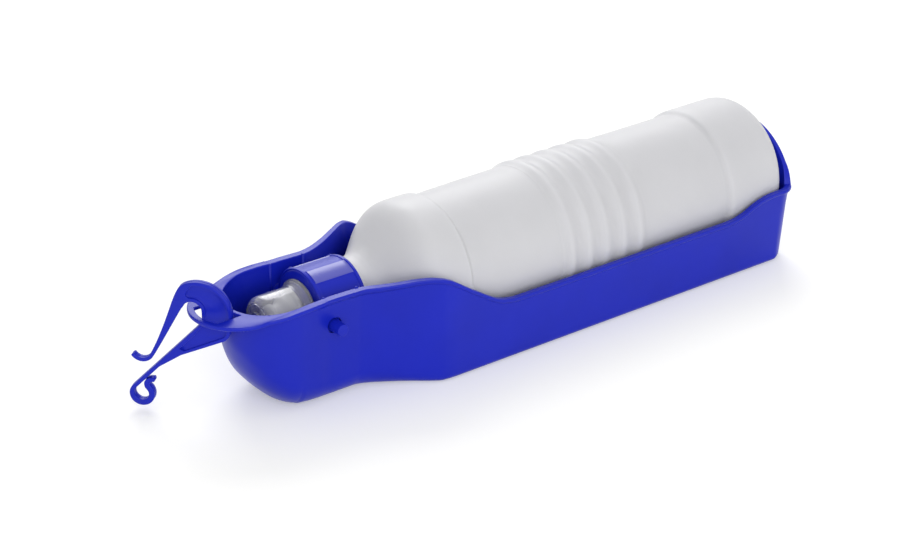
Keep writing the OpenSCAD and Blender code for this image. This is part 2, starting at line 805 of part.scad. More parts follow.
// Where the lower edge of the web meets the bar
bar_inner = bar_start - clip_bar / 2 * heading(bar_turn + 90);
web_end = bar_inner + web_length * heading(bar_turn);
arm_inner = strip_side(arm_path, arm_halves, -1);
arm_outer = strip_side(arm_path, arm_halves, 1);
lower_under = strip_side(lower_path, lower_halves, -1);
lower_over = strip_side(lower_path, lower_halves, 1);

// Round the head and heel, out and back along each arm, with the throat between
module clip_outline() {
    polygon(concat(
        arc(head_middle, head_radius, 62, 189),
        arc(heel_middle, heel_radius, 189, 245, 5),
        [web_end],
        [for (i = [1:len(lower_under) - 1]) lower_under[i]],
        reversed(lower_over),
        [[-throat_radius, throat_foot]],
        arc([0, 0], throat_radius, 180, throat_end),
        arm_inner,
        reversed(arm_outer),
        arm_shoulder));
}

// Recess between the rims: round the head and down to the lower arm
module clip_pocket() {
    bar_edge = bar_inner - play * heading(bar_turn + 90);
    polygon(concat(
        arc(head_middle, head_radius - clip_rim, 78, 192),
        arc(heel_middle, heel_radius - clip_rim, 192, 245, 5),
        [bar_edge + (web_length - pocket_end) * heading(bar_turn), bar_edge],
        arc([0, 0], throat_radius + clip_rim, 205, 80),
        pocket_corners));
}

module belt_clip() {
    color(tray_blue)
        translate([clip_x, clip_y, clip_z])
            rotate([90, 0, 90 + clip_turn])
                difference() {
                    linear_extrude(height = clip_width, center = true)
                        clip_outline();
                    for (side = [-1, 1])
                        translate([0, 0, side * (clip_web + clip_width) / 2])
                            linear_extrude(height = clip_width, center = true)
                                clip_pocket();
                }
}

tray();
bottle();
screw_cap();
neck_seal();
nozzle();
dust_cap();
belt_clip();
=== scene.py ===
import math

import bmesh
import bpy
import numpy as np
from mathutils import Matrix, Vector
from mathutils.geometry import tessellate_polygon


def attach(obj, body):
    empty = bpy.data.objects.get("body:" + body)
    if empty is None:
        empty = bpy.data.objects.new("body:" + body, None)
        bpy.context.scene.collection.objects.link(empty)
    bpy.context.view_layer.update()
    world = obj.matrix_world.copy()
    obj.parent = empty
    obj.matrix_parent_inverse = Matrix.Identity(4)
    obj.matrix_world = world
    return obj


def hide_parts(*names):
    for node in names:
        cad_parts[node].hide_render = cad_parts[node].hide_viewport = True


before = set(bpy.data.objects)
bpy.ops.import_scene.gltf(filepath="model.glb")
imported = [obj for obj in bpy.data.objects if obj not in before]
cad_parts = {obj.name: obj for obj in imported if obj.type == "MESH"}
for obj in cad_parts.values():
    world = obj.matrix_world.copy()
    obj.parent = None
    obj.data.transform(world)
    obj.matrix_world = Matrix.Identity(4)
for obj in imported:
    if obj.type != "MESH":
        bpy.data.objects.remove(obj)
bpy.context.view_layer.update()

# Drinking tray: one injection moulding in blue polypropylene that the bottle
# folds into. A round nose, a narrow waist for the pivot and long low walls are
# lofted round the rim, which has a bead outside it as a stiffener.
MM = 0.001
AXIS_Z = 34.0
NOSE_X, NOSE_R, NOSE_H = -15.3, 21.6, 44.9
WAIST_HALF, WIDE_HALF = 20.7, 35.2
SIDE_WALL, END_WALL, FLOOR_TOP = 2.0, 1.7, 2.0
FOOT_NARROW, FOOT_WIDE = 8.5, 2.6
INSET_NARROW, INSET_WIDE = 1.5, 0.85
CORNER_R, CORNER_TUCK, END_LEAN = 8.5, 1.4, 0.038
CORNER_X, CORNER_Y = 227.28, 26.7
CORNER_TOP = 34.3
ARCH_R, ARCH_TOP = 32.5, 56.9
BEAD_OUT, WAIST_BEAD, BEAD_HIGH, END_LIP, CORNER_LIP = 0.7, 1.6, 1.4, 0.5, 0.8
# Where the rim starts and stops sinking under the flange of the shelf, and how far
FLANGE_END, FLANGE_FULL, RIM_SUNK = -4.0, -7.0, 0.5
PIN_HOLE = 3.38

# Height of the rim at each station along the tray
RIM_X = [-51, -36, -27, -15.3, -9, 0, 12, 20, 26, 34, 38, 42, 46, 50, 55, 60, 65, 70, 75, 80,
         120, 193.8, 199.8, 205.8, 211.8, 217.8, 223.8, 240]
RIM_Z = [44.4, 44.45, 45.1, 46.3, 46.5, 46.5, 46.2, 46.0, 46.2, 47.0, 47.2, 46.7, 45.2, 42.7, 39.2, 36.0,
         32.8, 30, 28.5, 27.9, 27.7, 27.7, 28.0, 29.3, 31.8, 33.5, 34.2, 34.3]
# Half width of the rim at each station
HALF_X = [NOSE_X, -7.6, -1, 11.7, 15, 19, 24, 29, 34, 39, 44, 50, 60]
HALF_Y = [NOSE_R, 21.2, WAIST_HALF, WAIST_HALF, 21.3, 22.7, 24.9, 27.3, 29.9, 32.7, 34.8,
          WIDE_HALF, WIDE_HALF]


def smooth_through(xs, ys, x):
    """Cubic Hermite curve through the points (xs, ys). The slope at a point is
    the harmonic mean of its two chords, and 0 at a peak, so it never overshoots."""
    xs, ys = np.asarray(xs, float), np.asarray(ys, float)
    step = np.diff(xs)
    chord = np.diff(ys) / step
    slope = np.zeros(len(xs))
    same = chord[:-1] * chord[1:] > 0
    slope[1:-1][same] = 2 * chord[:-1][same] * chord[1:][same] / (chord[:-1] + chord[1:])[same]
    slope[0], slope[-1] = chord[0], chord[-1]
    i = np.clip(np.searchsorted(xs, x, side="right") - 1, 0, len(step) - 1)
    t = np.clip((x - xs[i]) / step[i], 0, 1)
    return ((1 + 2 * t) * (1 - t) ** 2 * ys[i] + t * (1 - t) ** 2 * step[i] * slope[i]
            + t * t * (3 - 2 * t) * ys[i + 1] + t * t * (t - 1) * step[i] * slope[i + 1])


def mesh_piece(name, points, faces, body):
    """A smooth-shaded mesh object from points in millimetres, riding on a body."""
    mesh = bpy.data.meshes.new(name)
    mesh.from_pydata((np.asarray(points, float).reshape(-1, 3) * MM).tolist(), [], faces)
    mesh.polygons.foreach_set("use_smooth", np.ones(len(mesh.polygons), bool))
    mesh.update()
    piece = bpy.data.objects.new(name, mesh)
    bpy.context.scene.collection.objects.link(piece)
    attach(piece, body)
    return piece


def grid_faces(rows, cols, wrap_rows=False, wrap_cols=False, start=0):
    """Quads joining neighbours on a rows by cols grid of points, numbered row
    by row, with the last row or column joined to the first where it wraps."""
    row = np.arange(rows if wrap_rows else rows - 1)[:, None]
    col = np.arange(cols if wrap_cols else cols - 1)[None, :]
    below, right = (row + 1) % rows, (col + 1) % cols
    corners = np.broadcast_arrays(
        row * cols + col, below * cols + col, below * cols + right, row * cols + right)
    return (np.stack(corners, -1).reshape(-1, 4) + start).tolist()


def arch_height(y):
    """Height of the end wall: a circle's edge at each distance from the middle."""
    return ARCH_TOP - ARCH_R + np.sqrt(np.maximum(ARCH_R ** 2 - y ** 2, 0))


def rim_height(x):
    """Height of the rim at x, sunk a little where the shelf's flange covers it."""
    covered = np.clip((FLANGE_END - x) / (FLANGE_END - FLANGE_FULL), 0, 1)
    return smooth_through(RIM_X, RIM_Z, x) - RIM_SUNK * covered


# A wall section is drawn by t, which runs round the foot and then up to the rim
T_FOOT, T_RIM = 5, 6
FOOT_ROWS, FACE_ROWS = 25, 8
t_row = np.concatenate([
    np.linspace(0, T_FOOT, FOOT_ROWS + 1), np.linspace(T_FOOT, T_RIM, FACE_ROWS + 1)[1:]])
upper = t_row > T_FOOT


def wall_section(half, top, foot, inset):
    """Outer face from the flat of the floor to the rim: a quarter circle of the
    foot's radius up to T_FOOT, then a straight line to the rim at T_RIM."""
    turn = np.radians(90 / T_FOOT * np.minimum(t_row, T_FOOT))[None, :]
    rise = np.clip(t_row - T_FOOT, 0, 1)[None, :]
    half, top, foot, inset = (np.asarray(q, float).reshape(-1, 1) for q in (half, top, foot, inset))
    out = half - inset - foot + foot * np.sin(turn)
    up = foot - foot * np.cos(turn)
    return out + (half - out) * rise, up + (top - up) * rise


# Nose: the side section widens into a bow profile as the bearing nears the front
NOSE_STEPS = 46
SIDE_FOOT = 12.1
# Bow profile at t from 0 to 6: share of the nose's radius, height, and the power
# of the bearing's sine by which the side section gives way to it
BOW_T = range(T_RIM + 1)
BOW_SHARES = [0.11, 0.33, 0.57, 0.77, 0.91, 0.99, 1]
BOW_HEIGHTS = [0, 3.46, 8.98, 15.27, 23.57, 33.2, NOSE_H]
BOW_POWERS = [0.8, 1, 1.25, 1.5, 1.75, 2, 2]
nose_turn = np.radians(np.linspace(90, 0, NOSE_STEPS))
nose_top = rim_height(NOSE_X - NOSE_R * np.sin(nose_turn))[:, None]
side_out, side_up = wall_section(
    np.full(NOSE_STEPS, WAIST_HALF), np.full(NOSE_STEPS, nose_top[-1]), SIDE_FOOT, INSET_NARROW)
side_out = side_out + (NOSE_R - WAIST_HALF) * np.minimum(t_row, T_FOOT) / T_FOOT
bow_out = NOSE_R * smooth_through(BOW_T, BOW_SHARES, t_row)
bow_up = smooth_through(BOW_T, BOW_HEIGHTS, t_row)
share = np.sin(nose_turn)[:, None] ** smooth_through(BOW_T, BOW_POWERS, t_row)
nose_out = side_out * (1 - share) + bow_out * share
nose_up = side_up * (1 - share) + bow_up * share
foot_out, foot_up = nose_out[:, [FOOT_ROWS]], nose_up[:, [FOOT_ROWS]]
nose_out[:, upper] = foot_out + (NOSE_R - foot_out) * (t_row[upper] - T_FOOT)
nose_up[:, upper] = foot_up + (nose_top - foot_up) * (t_row[upper] - T_FOOT)

# Side walls: they flare from the waist, then their rim drops and rises again.
# Their stations lie closer on the runs that bend.
RUN_ENDS = [NOSE_X, 12, 50, 84, 190, CORNER_X]
RUN_STATIONS = [29, 43, 33, 19, 33]
# Extra radius of the foot, by station, towards the nose
SOFT_X, SOFT_FOOT = [NOSE_X, -9.2, 0, 240], [SIDE_FOOT - FOOT_NARROW, 1.6, 0, 0]
side_x = np.concatenate([
    np.linspace(start, stop, count + 1)[1:]
    for start, stop, count in zip(RUN_ENDS, RUN_ENDS[1:], RUN_STATIONS)])
side_half = smooth_through(HALF_X, HALF_Y, side_x)
widened = np.clip((side_half - WAIST_HALF) / (WIDE_HALF - WAIST_HALF), 0, 1)
soft_foot = smooth_through(SOFT_X, SOFT_FOOT, side_x)
flank_out, flank_up = wall_section(
    side_half, rim_height(side_x),
    FOOT_NARROW + (FOOT_WIDE - FOOT_NARROW) * widened + soft_foot,
    INSET_NARROW + (INSET_WIDE - INSET_NARROW) * widened)

# Plan corners blend the side section into the leaning, arched end wall
CORNER_STEPS, END_STEPS = 14, 24
turned_share = np.linspace(0, 1, CORNER_STEPS + 1)[1:]
corner_bearing = np.pi / 2 * (1 - turned_share)
corner_top = np.maximum(CORNER_TOP, arch_height(
    np.minimum(ARCH_R, CORNER_Y + CORNER_R * np.sin(corner_bearing))))
blend = turned_share[:, None]
near_out, near_up = wall_section(np.full(CORNER_STEPS, CORNER_R), corner_top, FOOT_WIDE, INSET_WIDE)
corner_lean = END_LEAN * (corner_top - FOOT_WIDE)
far_out, far_up = wall_section(CORNER_R + corner_lean, corner_top, FOOT_WIDE, corner_lean)
tuck = CORNER_TUCK * np.sin(2 * corner_bearing)[:, None] * (1 - near_up / corner_top[:, None])
corner_out = near_out * (1 - blend) + far_out * blend - tuck
corner_up = near_up * (1 - blend) + far_up * blend

end_y = np.linspace(CORNER_Y, 0, END_STEPS + 1)[1:]
end_top = arch_height(end_y)
end_lean = END_LEAN * (end_top - FOOT_WIDE)
end_out, end_up = wall_section(CORNER_R + end_lean, end_top, FOOT_WIDE, end_lean)

# All stations of one half, from the tip of the nose to the middle of the end
side_steps = len(side_x)
to_corner = NOSE_STEPS + side_steps
station_x = np.concatenate([
    np.full(NOSE_STEPS, NOSE_X), side_x, np.full(CORNER_STEPS + END_STEPS, CORNER_X)])
station_y = np.concatenate([np.zeros(to_corner), np.full(CORNER_STEPS, CORNER_Y), end_y])
bearing = np.concatenate([
    np.pi / 2 + nose_turn, np.full(side_steps, np.pi / 2), corner_bearing, np.zeros(END_STEPS)])
wall = np.concatenate([
    np.full(to_corner, SIDE_WALL), SIDE_WALL + (END_WALL - SIDE_WALL) * turned_share,
    np.full(END_STEPS, END_WALL)])
side_bead = ((WAIST_BEAD + (BEAD_OUT - WAIST_BEAD) * widened)
             * np.clip((side_x - NOSE_X) / (FLANGE_END - NOSE_X), 0, 1))
bead = np.concatenate([
    np.zeros(NOSE_STEPS), side_bead,
    BEAD_OUT + (END_LIP - BEAD_OUT) * turned_share + CORNER_LIP * np.sin(2 * corner_bearing),
    np.full(END_STEPS, END_LIP)])

# Bead below the rim, as [share of its width, height on it in bead widths]
BEAD_ROWS = np.array([[0, -1], [0.32, -0.72], [0.68, -0.3], [0.93, 0.1], [1, 0.45]])
# Rounded rim: [1 outside or 0 inside, outwards from that face, up from the rim]
RIM_ROWS = np.array([
    [1, -0.02, -0.42], [1, -0.1, -0.17], [1, -0.25, -0.04], [1, -0.5, 0],
    [0, 0.5, 0], [0, 0.25, -0.04], [0, 0.1, -0.17], [0, 0.02, -0.42]])


def closed_section(out, up, thick, lip):
    """The wall as a closed loop of (out, up): outer face, bead, rounded rim and
    inner face. The inner face is the outer one moved in along its normal."""
    run, rise = np.gradient(out, axis=1), np.gradient(up, axis=1)
    length = np.hypot(run, rise)
    thick, lip = thick[:, None], lip[:, None]
    in_out, in_up = out - rise / length * thick, up + run / length * thick
    in_out[:, 0], in_up[:, 0] = out[:, 0], FLOOR_TOP
    rim_out, rim_up = out[:, [-1]], up[:, [-1]]
    bead_out = rim_out + lip * BEAD_ROWS[None, :, 0]
    bead_up = rim_up - BEAD_HIGH + lip * BEAD_ROWS[None, :, 1]
    edge_out = rim_out + (lip + thick) * RIM_ROWS[None, :, 0] - thick + RIM_ROWS[None, :, 1]
    edge_up = rim_up + RIM_ROWS[None, :, 2]
    below_bead = slice(0, -2)
    inner_out, inner_up = in_out[:, below_bead][:, ::-1], in_up[:, below_bead][:, ::-1]
    return (np.concatenate([out[:, below_bead], bead_out, edge_out, inner_out], 1),
            np.concatenate([up[:, below_bead], bead_up, edge_up, inner_up], 1))


loop_out, loop_up = closed_section(
    np.concatenate([nose_out, flank_out, corner_out, end_out]),
    np.concatenate([nose_up, flank_up, corner_up, end_up]), wall, bead)
half_shell = np.stack([
    station_x[:, None] + loop_out * np.cos(bearing)[:, None],
    station_y[:, None] + loop_out * np.sin(bearing)[:, None], loop_up], -1)
shell = np.concatenate([half_shell, half_shell[1:-1][::-1] * [1, -1, 1]])
stations, rows = shell.shape[:2]
shell_faces = [face[::-1] for face in grid_faces(stations, rows, wrap_rows=True)]

# The floor inside and underneath: strips from each station to its mirror image
last = len(half_shell) - 1
near = np.arange(1, last)
far = stations - near
for row, order in ((0, -1), (rows - 1, 1)):
    strips = (np.stack([near[:-1], near[1:], far[1:], far[:-1]], -1) * rows + row).tolist()
    tips = [[row, rows + row, (stations - 1) * rows + row],
            [(last - 1) * rows + row, last * rows + row, (last + 1) * rows + row]]
    shell_faces += [face[::order] for face in strips + tips]
tray = mesh_piece("tray_shell", shell, shell_faces, "tray")
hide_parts("tray")


def tube_rows(profile, around, side=1):
    """A profile of (distance, radius) turned about the Y axis through the pivot;
    side = -1 gives its mirror image."""
    turn = np.linspace(0, 2 * np.pi, around, endpoint=False)[None, :]
    reach, radius = profile[:, [0]], profile[:, [1]]
    return np.stack([radius * np.cos(turn), side * reach + 0 * turn, AXIS_Z + radius * np.sin(turn)], -1)


# Both bearing holes of the pins are cut by one rod across the waist
ROD = np.array([[-30, PIN_HOLE], [30, PIN_HOLE]])
ROD_ROUND = 48
rod_ends = [list(range(ROD_ROUND))[::-1], list(range(ROD_ROUND, 2 * ROD_ROUND))]
rod = mesh_piece(
    "pin_hole_rod", tube_rows(ROD, ROD_ROUND), grid_faces(2, ROD_ROUND, wrap_cols=True) + rod_ends, "tray")
cut = tray.modifiers.new("pin_holes", "BOOLEAN")
cut.operation, cut.solver, cut.object = "DIFFERENCE", "EXACT", rod
bored = bpy.data.meshes.new_from_object(tray.evaluated_get(bpy.context.evaluated_depsgraph_get()))
tray.modifiers.clear()
tray.data = bored
bpy.data.objects.remove(rod)


# Scales of the noise that moves a plastic's colour, gloss and grain, per metre
DRIFT_SCALE, GLOSS_SCALE, GRAIN_SCALE = 38, 110, 1500
# Noise values at which the colour reaches its ends, the least and the most that
# the roughness is scaled by, and the depth of the grain in metres
DRIFT_SPAN = 0.3, 0.7
GLOSS_SPAN = 0.82, 1.2
GRAIN_DEEP = 0.0001


def moulded_plastic(name, colour, rough, grain=0.12, drift=0.06):
    """Moulded plastic: the colour drifts slowly by a share of itself, the gloss
    varies in soft patches, and a very fine grain breaks the highlights."""
    made = bpy.data.materials.new(name)
    made.use_nodes = True
    nodes, links = made.node_tree.nodes, made.node_tree.links
    shader = nodes["Principled BSDF"]
    place = nodes.new("ShaderNodeTexCoord")

    def noise(scale, detail):
        """Soft noise over the piece's own coordinates: octaves of one field, summed."""
        field = nodes.new("ShaderNodeTexNoise")
        field.inputs["Scale"].default_value = scale
        field.inputs["Detail"].default_value = detail
        links.new(place.outputs["Object"], field.inputs["Vector"])
        return field.outputs["Fac"]

    tone = nodes.new("ShaderNodeValToRGB")
    low, high = tone.color_ramp.elements
    low.position, high.position = DRIFT_SPAN
    low.color = (*(c * (1 - drift) for c in colour), 1)
    high.color = (*(min(1, c * (1 + drift)) for c in colour), 1)
    links.new(noise(DRIFT_SCALE, 3), tone.inputs["Fac"])
    links.new(tone.outputs["Color"], shader.inputs["Base Color"])
    gloss = nodes.new("ShaderNodeMapRange")
    gloss.inputs["To Min"].default_value = rough * GLOSS_SPAN[0]
    gloss.inputs["To Max"].default_value = rough * GLOSS_SPAN[1]
    links.new(noise(GLOSS_SCALE, 5), gloss.inputs["Value"])
    links.new(gloss.outputs["Result"], shader.inputs["Roughness"])
    bump = nodes.new("ShaderNodeBump")
    bump.inputs["Strength"].default_value = grain
    bump.inputs["Distance"].default_value = GRAIN_DEEP
    links.new(noise(GRAIN_SCALE, 2), bump.inputs["Height"])
    links.new(bump.outputs["Normal"], shader.inputs["Normal"])
    return made, shader


BLUE, BLUE_ROUGH = (0.006, 0.015, 0.42), 0.33
blue, blue_shader = moulded_plastic("blue_polypropylene", BLUE, BLUE_ROUGH)
blue_shader.inputs["Specular IOR Level"].default_value = 0.22
# Edges that turn by more than this are shaded sharp
SHARP_TURN = math.radians(40)
tray.data.materials.clear()
tray.data.materials.append(blue)
tray.data.set_sharp_from_angle(angle=SHARP_TURN)
# Large faces outweigh the small ones beside them, so the flat walls shade evenly
even = tray.modifiers.new("even_shading", "WEIGHTED_NORMAL")
even.keep_sharp = True
even.weight = 80

# Guide ribs and gussets: two pairs of thin upright ribs inside the waist steer
# the cap's pins to their holes, and two small triangular webs brace the shelf.
# All six are moulded in one with the tray.
GUIDE_X, GUIDE_WIDE, GUIDE_OUT = (-4.05, 11.7), 1.1, 0.75
GUIDE_FOOT, GUIDE_TOP = 28.0, 46.6
# Bearings round a rib's face, and how far its root is sunk in the wall
GUIDE_BOW, GUIDE_ROOT = np.radians([180, 150, 90, 30, 0]), 0.3
# Gussets: bearing from the middle, thickness, and top, which is just inside the shelf
GUSSET_TURN, GUSSET_WIDE, GUSSET_TOP = 24, 1.2, 42.9
# Corners of a gusset: [out from the nose's radius, up from its top]
GUSSET = np.array([[-1, 0], [2.2, 0], [1.9, -0.6], [-0.6, -6.5]])


def prism(outline, low, high):
    """The outline's corners at two heights, with its sides and both ends."""
    n = len(outline)
    points = np.concatenate([np.column_stack([outline, np.full(n, z)]) for z in (low, high)])
    sides = [[i, (i + 1) % n, n + (i + 1) % n, n + i] for i in range(n)]
    return points, sides + [list(range(n))[::-1], list(range(n, 2 * n))]


def guide_rib(x, side):
    """The rib stands out of the wall by the square root of its bearing's sine,
    from one side to the other. This outline is raised from its foot to its top."""
    inner = smooth_through(HALF_X, HALF_Y, np.array(x)) - SIDE_WALL
    reach = GUIDE_ROOT - (GUIDE_OUT + GUIDE_ROOT) * np.sin(GUIDE_BOW) ** 0.5
    outline = np.column_stack([x - GUIDE_WIDE / 2 * np.cos(GUIDE_BOW), side * (inner + reach)])
    return prism(outline[::-1] if side > 0 else outline, GUIDE_FOOT, GUIDE_TOP)


def gusset(side):
    """The corners are given an even thickness, then turned about the middle of
    the nose to the bearing on one side of its front."""
    flat_points, faces = prism(GUSSET + [NOSE_R, GUSSET_TOP], -GUSSET_WIDE / 2, GUSSET_WIDE / 2)
    turn = math.radians(180 + side * GUSSET_TURN)
    out, up, across = flat_points.T
    return np.column_stack([NOSE_X + out * math.cos(turn) - across * math.sin(turn),
                            out * math.sin(turn) + across * math.cos(turn), up]), faces


def numbered_on(parts):
    """Several (points, faces) pairs as one: the faces of each are numbered on
    from the points before it."""
    starts = np.cumsum([0] + [len(points) for points, _ in parts]).tolist()
    faces = [[start + i for i in face] for start, (_, own) in zip(starts, parts) for face in own]
    return np.concatenate([points for points, _ in parts]), faces


brace_parts = []
for side in (-1, 1):
    brace_parts += [guide_rib(x, side) for x in GUIDE_X] + [gusset(side)]
brace_points, brace_faces = numbered_on(brace_parts)
braces = mesh_piece("tray_ribs_and_gussets", brace_points, brace_faces, "tray")
braces.data.materials.append(blue)

# Shelf of the tray: the flat flange in front of the nose, moulded in one with
# it and level with its rim. A large slot leaves a round bar for the belt clip.
SHELF_X, SHELF_R, SHELF_THICK = -30.6, 20.3, 1.6
SLOT_BAR, SLOT_HALF = 2.8, 8.3
SHELF_EDGE = 0.45
# Gap that keeps the flange's inner edge off the bowl's inner face
BOWL_GAP = 0.03
# Side edge of the flange from the rim to the round front
FLANGE_X = [SHELF_X, -22.3, NOSE_X, -9, FLANGE_END]
FLANGE_Y = [SHELF_R, 22.7, 23.3, 23.1, 22.6]


def arc(middle, radius, first, last, count):
    """count points of a circle from one bearing to another, in degrees."""
    turn = np.radians(np.linspace(first, last, count))
    return np.column_stack([middle[0] + radius * np.cos(turn), middle[1] + radius * np.sin(turn)])


def moved_in(outline, by):
    """A closed anticlockwise outline moved to its left, along its normals."""
    along = np.roll(outline, -1, 0) - np.roll(outline, 1, 0)
    along /= np.linalg.norm(along, axis=1, keepdims=True)
    return outline + by * np.column_stack([-along[:, 1], along[:, 0]])


def mirrored(path):
    """The path reflected across the middle plane, run the other way."""
    return path[::-1] * [1, -1]


def sewn(piece, sharp):
    """Merge a piece's doubled points, turn its faces outwards and keep edges
    over an angle sharp."""
    work = bmesh.new()
    work.from_mesh(piece.data)
    bmesh.ops.remove_doubles(work, verts=work.verts, dist=2e-6)
    bmesh.ops.recalc_face_normals(work, faces=work.faces)
    work.to_mesh(piece.data)
    work.free()
    piece.data.set_sharp_from_angle(angle=math.radians(sharp))


def flat_faces(outlines, starts):
    """Triangles that fill an outline and leave its holes open, numbered from
    where each outline's points start."""
    number = np.concatenate([start + np.arange(len(path)) for path, start in zip(outlines, starts)])
    loops = [[Vector((x, y, 0)) for x, y in path] for path in outlines]
    return [[int(number[i]) for i in triangle] for triangle in tessellate_polygon(loops)]


FLANGE_POINTS, BOWL_POINTS, FRONT_POINTS = 26, 16, 90
flange_x = np.linspace(FLANGE_END, SHELF_X, FLANGE_POINTS)
flange_side = np.column_stack([flange_x, smooth_through(FLANGE_X, FLANGE_Y, flange_x)])
bowl_x = np.linspace(FLANGE_END, NOSE_X, BOWL_POINTS)
bowl_side = np.column_stack([bowl_x, smooth_through(HALF_X, HALF_Y, bowl_x) - SIDE_WALL - BOWL_GAP])
flange_edge = np.concatenate([
    flange_side[:-1], arc((SHELF_X, 0), SHELF_R, 90, 270, FRONT_POINTS), mirrored(flange_side)[1:],
    mirrored(bowl_side)[::-1],
    arc((NOSE_X, 0), NOSE_R - SIDE_WALL - BOWL_GAP, 270, 90, FRONT_POINTS)[1:-1], bowl_side[::-1]])
bar_r = SHELF_R - SLOT_BAR
slot_turn = math.degrees(math.asin(SLOT_HALF / bar_r))
root_turn = math.degrees(math.asin(SLOT_HALF / NOSE_R))
slot_edge = np.concatenate([
    arc((SHELF_X, 0), bar_r, 180 - slot_turn, 180 + slot_turn, 50),
    arc((NOSE_X, 0), NOSE_R, 180 + root_turn, 180 - root_turn, 40)])

# Levels of the rounded edges: [inwards, down from the top]
edge_turns = np.radians([0, 30, 60, 90])
round_rows = [(SHELF_EDGE * (1 - math.sin(a)), SHELF_EDGE * (1 - math.cos(a))) for a in edge_turns]
shelf_levels = round_rows + [(inset, SHELF_THICK - down) for inset, down in round_rows[::-1]]
shelf_points, shelf_faces, flat_starts = [], [], []
for outline, sign in ((flange_edge, 1), (slot_edge, -1)):
    start = sum(len(part) for part in shelf_points)
    for inset, down in shelf_levels:
        ring = moved_in(outline, sign * inset)
        shelf_points.append(np.column_stack([ring, smooth_through(RIM_X, RIM_Z, ring[:, 0]) - down]))
    shelf_faces += grid_faces(len(shelf_levels), len(outline), wrap_cols=True, start=start)
    flat_starts.append((start, start + (len(shelf_levels) - 1) * len(outline)))
for level in (0, 1):
    row = level * (len(shelf_levels) - 1)
    rings = [shelf_points[row], shelf_points[row + len(shelf_levels)]]
    shelf_faces += flat_faces([ring[:, :2] for ring in rings], [starts[level] for starts in flat_starts])
shelf = mesh_piece("tray_shelf", np.concatenate(shelf_points), shelf_faces, "tray")
shelf.data.materials.append(blue)
sewn(shelf, 50)

# Squeeze bottle: blow-moulded low-density polyethylene, milky white. The
# shoulder, a shallow groove, five squeeze ribs and a wider base band are one
# turned outline, and the screw thread winds round the neck inside the cap.
BOTTLE_WALL = 0.9
NECK = np.array([[1.05, 11.9], [1.05, 13.2], [1.3, 13.5], [2.6, 13.5], [15.6, 13.5], [19.1, 13.5]])
BODY = np.array([
    [19.35, 14.1], [19.6, 14.6], [20.4, 14.65], [21.0, 14.1], [22.4, 14.0], [24.0, 14.05], [25.4, 14.5],
    [27.0, 15.1], [29.7, 16.9], [32.4, 19.5], [35.1, 22.2], [37.8, 24.8], [40.5, 27.3], [43.2, 29.2],
    [45.9, 30.5], [48.6, 31.0], [54, 31.03], [59.2, 31.0], [60.1, 30.85], [60.8, 30.1], [61.5, 29.55],
    [62.4, 29.45], [63.6, 29.5], [72, 29.6], [90, 29.95], [105, 30.0], [107.5, 30.1]])
RIB_FIRST, RIB_PITCH, RIB_COUNT = 112.3, 9.35, 5
RIB = np.array([[-4.3, 0.35], [-3.3, 0.5], [-2.2, 0.9], [-1.1, 1.36], [0, 1.5], [1.1, 1.36], [2.2, 0.9],
                [3.3, 0.5], [4.3, 0.35]])
BAND = np.array([[156, 30.05], [175, 30.0], [198.6, 29.95], [199.9, 29.95], [200.9, 30.3], [202.1, 31.05],
                 [203.1, 31.4], [204.6, 31.47], [226.8, 31.47]])
BASE_ROUND, BASE_X = 7, 226.8
# Radius of the tiny ring that closes a turned piece at its axis
POLE_R = 0.02
DISH = np.array([[233.8, 18.6], [233.6, 17.6], [232.6, 15.6], [231.8, 14], [231.45, 12], [231.4, POLE_R]])
# Inside: the bore of the neck, the radius past which the body has left it, and
# the stations from which the base and its dish count
BORE, BORE_CLEAR = np.array([[3, 12.0], [1.05, 11.9]]), 12.05
BASE_FROM, DISH_FROM = 225, 231
THREAD_STEP, BOTTLE_ROUND = 0.35, 144
# The thread: first and last station, pitch and height. Across it the share of its
# height falls from its crest's value by its flank's per pitch, held to 0 to 1.
THREAD = (2.2, 16.4, 4.2, 0.72)
THREAD_CREST, THREAD_FLANK = 1.35, 6.4


def turned(profile, around, thread=None):
    """A profile of (along, radius) turned round the bottle's axis. The thread
    adds a ridge that moves on by its pitch each turn, between two stations."""
    turn = np.linspace(0, 2 * np.pi, around, endpoint=False)[None, :]
    along, radius = profile[:, [0]] + 0 * turn, profile[:, [1]] + 0 * turn
    if thread:
        first, final, pitch, height = thread
        phase = (along - first) / pitch - turn / (2 * np.pi)
        ridge = np.clip(THREAD_CREST - THREAD_FLANK * np.abs(phase - np.round(phase)), 0, 1)
        radius = radius + height * ridge * np.clip(along - first, 0, 1) * np.clip(final - along, 0, 1)
    return np.stack([along, radius * np.sin(turn), AXIS_Z + radius * np.cos(turn)], -1)


def finer(profile, step):
    """The profile with points no further apart than step, on straight runs."""
    gaps = np.linalg.norm(np.diff(profile, axis=0), axis=1)
    runs = [start + (stop - start) * np.linspace(0, 1, max(1, math.ceil(gap / step)), endpoint=False)[:, None]
            for start, stop, gap in zip(profile, profile[1:], gaps)]
    return np.concatenate(runs + [profile[-1:]])


def rounded(profile, passes):
    """The profile with every corner cut, a quarter of the way along both of its
    sides, once per pass. Its ends stay."""
    for _ in range(passes):
        near, far = profile[:-1], profile[1:]
        cuts = np.stack([0.75 * near + 0.25 * far, 0.25 * near + 0.75 * far], 1).reshape(-1, 2)
        profile = np.concatenate([profile[:1], cuts[1:-1], profile[-1:]])
    return profile


rib_x = RIB_FIRST + RIB_PITCH * np.arange(RIB_COUNT)
ribs = np.concatenate([RIB + [x, 30.0] for x in rib_x])
base_edge = arc((BASE_X, BAND[-1, 1] - BASE_ROUND), BASE_ROUND, 90, 0, 13)[1:]
bottle_out = np.concatenate([
    finer(NECK, THREAD_STEP), rounded(np.concatenate([BODY, ribs, BAND, base_edge, DISH]), 2)])

